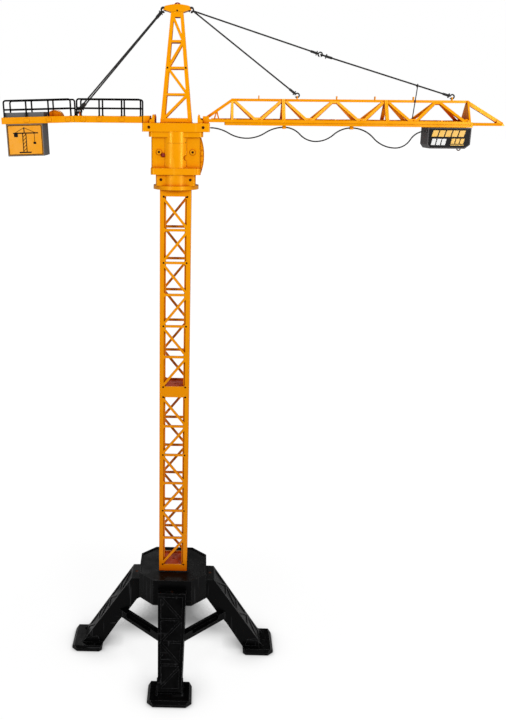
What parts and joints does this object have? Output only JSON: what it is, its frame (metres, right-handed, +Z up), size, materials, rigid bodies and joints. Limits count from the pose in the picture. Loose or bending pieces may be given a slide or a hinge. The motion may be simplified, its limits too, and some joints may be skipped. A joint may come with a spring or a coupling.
{
  "type": "toy tower crane",
  "caption": "Toy tower crane with a turning jib, a travelling hoist trolley and a lifting hook, standing on four legs.",
  "frame": {"origin": "on the floor, on the mast axis", "axes": "+Z up the mast, +X out along the jib, -Y the front"},
  "size_m": [0.8951, 0.4258, 1.28],
  "materials": {
    "yellow_plastic": "gloss",
    "black_plastic": "gloss",
    "grey_plastic": "satin",
    "trolley_plastic": "satin",
    "steel_screws": "satin",
    "white_nylon": "satin",
    "motor_can": "satin",
    "cell_wrap": "gloss",
    "board": "satin",
    "red_lens": "gloss",
    "label_film": "gloss",
    "cord": "matte",
    "wheel_rubber": "matte"
  },
  "bodies": {
    "base": {"base_hub": "black_plastic", "leg_front": "black_plastic", "leg_back": "black_plastic", "leg_left": "black_plastic", "leg_right": "black_plastic", "leg_braces": "black_plastic", "base_screws": "steel_screws", "mast_lower_channel": "yellow_plastic", "mast_lower_panel": "yellow_plastic", "mast_upper_channel": "yellow_plastic", "mast_upper_panel": "yellow_plastic", "mast_screws": "steel_screws", "turntable_front": "yellow_plastic", "turntable_rear": "yellow_plastic", "ring_gear": "white_nylon"},
    "upper": {"housing_front": "yellow_plastic", "housing_rear": "yellow_plastic", "side_cover": "yellow_plastic", "housing_screws": "steel_screws", "top_frame": "yellow_plastic", "jib_pins": "steel_screws", "slew_motor": "motor_can", "batteries": "cell_wrap", "circuit_board": "board", "status_lamp": "red_lens", "head_front": "yellow_plastic", "head_rear": "yellow_plastic", "head_screws": "steel_screws", "head_cap": "yellow_plastic", "beacon": "red_lens", "deck_inner": "yellow_plastic", "deck_outer": "yellow_plastic", "railing_inner": "black_plastic", "railing_outer": "black_plastic", "counterweight": "grey_plastic", "counterweight_labels": "label_film", "winch_cover": "yellow_plastic", "jib_root": "yellow_plastic", "jib_middle": "yellow_plastic", "jib_tip": "yellow_plastic", "jib_joint_pins": "steel_screws", "tie_rear": "cord", "tie_short": "cord", "tie_long_inner": "cord", "tie_long_outer": "cord", "drop_line": "cord", "festoon_cable": "cord"},
    "pinion": {"slew_pinion": "white_nylon"},
    "switch": {"power_switch": "black_plastic"},
    "trolley": {"trolley_housing": "trolley_plastic", "trolley_carriage": "trolley_plastic", "trolley_label": "label_film", "hoist_line": "cord"},
    "wheels_inner": {"wheel_axle_inner": "wheel_rubber"},
    "wheels_outer": {"wheel_axle_outer": "wheel_rubber"},
    "drum": {"winch_drum": "white_nylon"},
    "block": {"hook_block": "black_plastic"},
    "hook_body": {"hook": "steel_screws"},
    "clip_1_body": {"festoon_clip_1": "yellow_plastic"},
    "clip_2_body": {"festoon_clip_2": "yellow_plastic"}
  },
  "joints": [
    {"name": "slew_turn", "type": "hinge", "parent": "base", "child": "upper", "pos_m": [0, 0, 0.9884], "axis": [0, 0, 1], "continuous": true},
    {"name": "slew_pinion_spin", "type": "hinge", "parent": "upper", "child": "pinion", "pos_m": [-0.024, 0, 1], "axis": [0, 0, 1], "continuous": true},
    {"name": "trolley_travel", "type": "slide", "parent": "upper", "child": "trolley", "axis": [1, 0, 0], "range_m": [-0.24, 0], "deforming": ["festoon_cable"]},
    {"name": "wheel_inner_roll", "type": "hinge", "parent": "trolley", "child": "wheels_inner", "pos_m": [0.459, 0, 1.08054], "axis": [0, 1, 0], "continuous": true},
    {"name": "wheel_outer_roll", "type": "hinge", "parent": "trolley", "child": "wheels_outer", "pos_m": [0.507, 0, 1.08054], "axis": [0, 1, 0], "continuous": true},
    {"name": "hoist_lower", "type": "slide", "parent": "trolley", "child": "block", "axis": [0, 0, -1], "range_m": [0, 1], "deforming": ["hoist_line"]},
    {"name": "winch_drum_spin", "type": "hinge", "parent": "trolley", "child": "drum", "pos_m": [0.5025, 0, 1.062], "axis": [0, 1, 0], "continuous": true},
    {"name": "hook_swivel", "type": "hinge", "parent": "block", "child": "hook_body", "pos_m": [0.509, 0, 1.05], "axis": [0, 0, 1], "continuous": true},
    {"name": "power_switch_slide", "type": "slide", "parent": "upper", "child": "switch", "axis": [1, 0, 0], "range_m": [0, 0.0055]},
    {"name": "festoon_clip_1_slide", "type": "slide", "parent": "upper", "child": "clip_1_body", "axis": [1, 0, 0], "range_m": [-0.09, 0]},
    {"name": "festoon_clip_2_slide", "type": "slide", "parent": "upper", "child": "clip_2_body", "axis": [1, 0, 0], "range_m": [-0.17, 0]}
  ],
  "couplings": [
    {"joint": "slew_pinion_spin", "follows": "slew_turn", "ratio": 3},
    {"joint": "wheel_inner_roll", "follows": "trolley_travel", "rad_per_m": 250},
    {"joint": "wheel_outer_roll", "follows": "trolley_travel", "rad_per_m": 250},
    {"joint": "winch_drum_spin", "follows": "hoist_lower", "rad_per_m": 153.85},
    {"joint": "festoon_clip_1_slide", "follows": "trolley_travel", "ratio": 0.3442},
    {"joint": "festoon_clip_2_slide", "follows": "trolley_travel", "ratio": 0.6571}
  ]
}
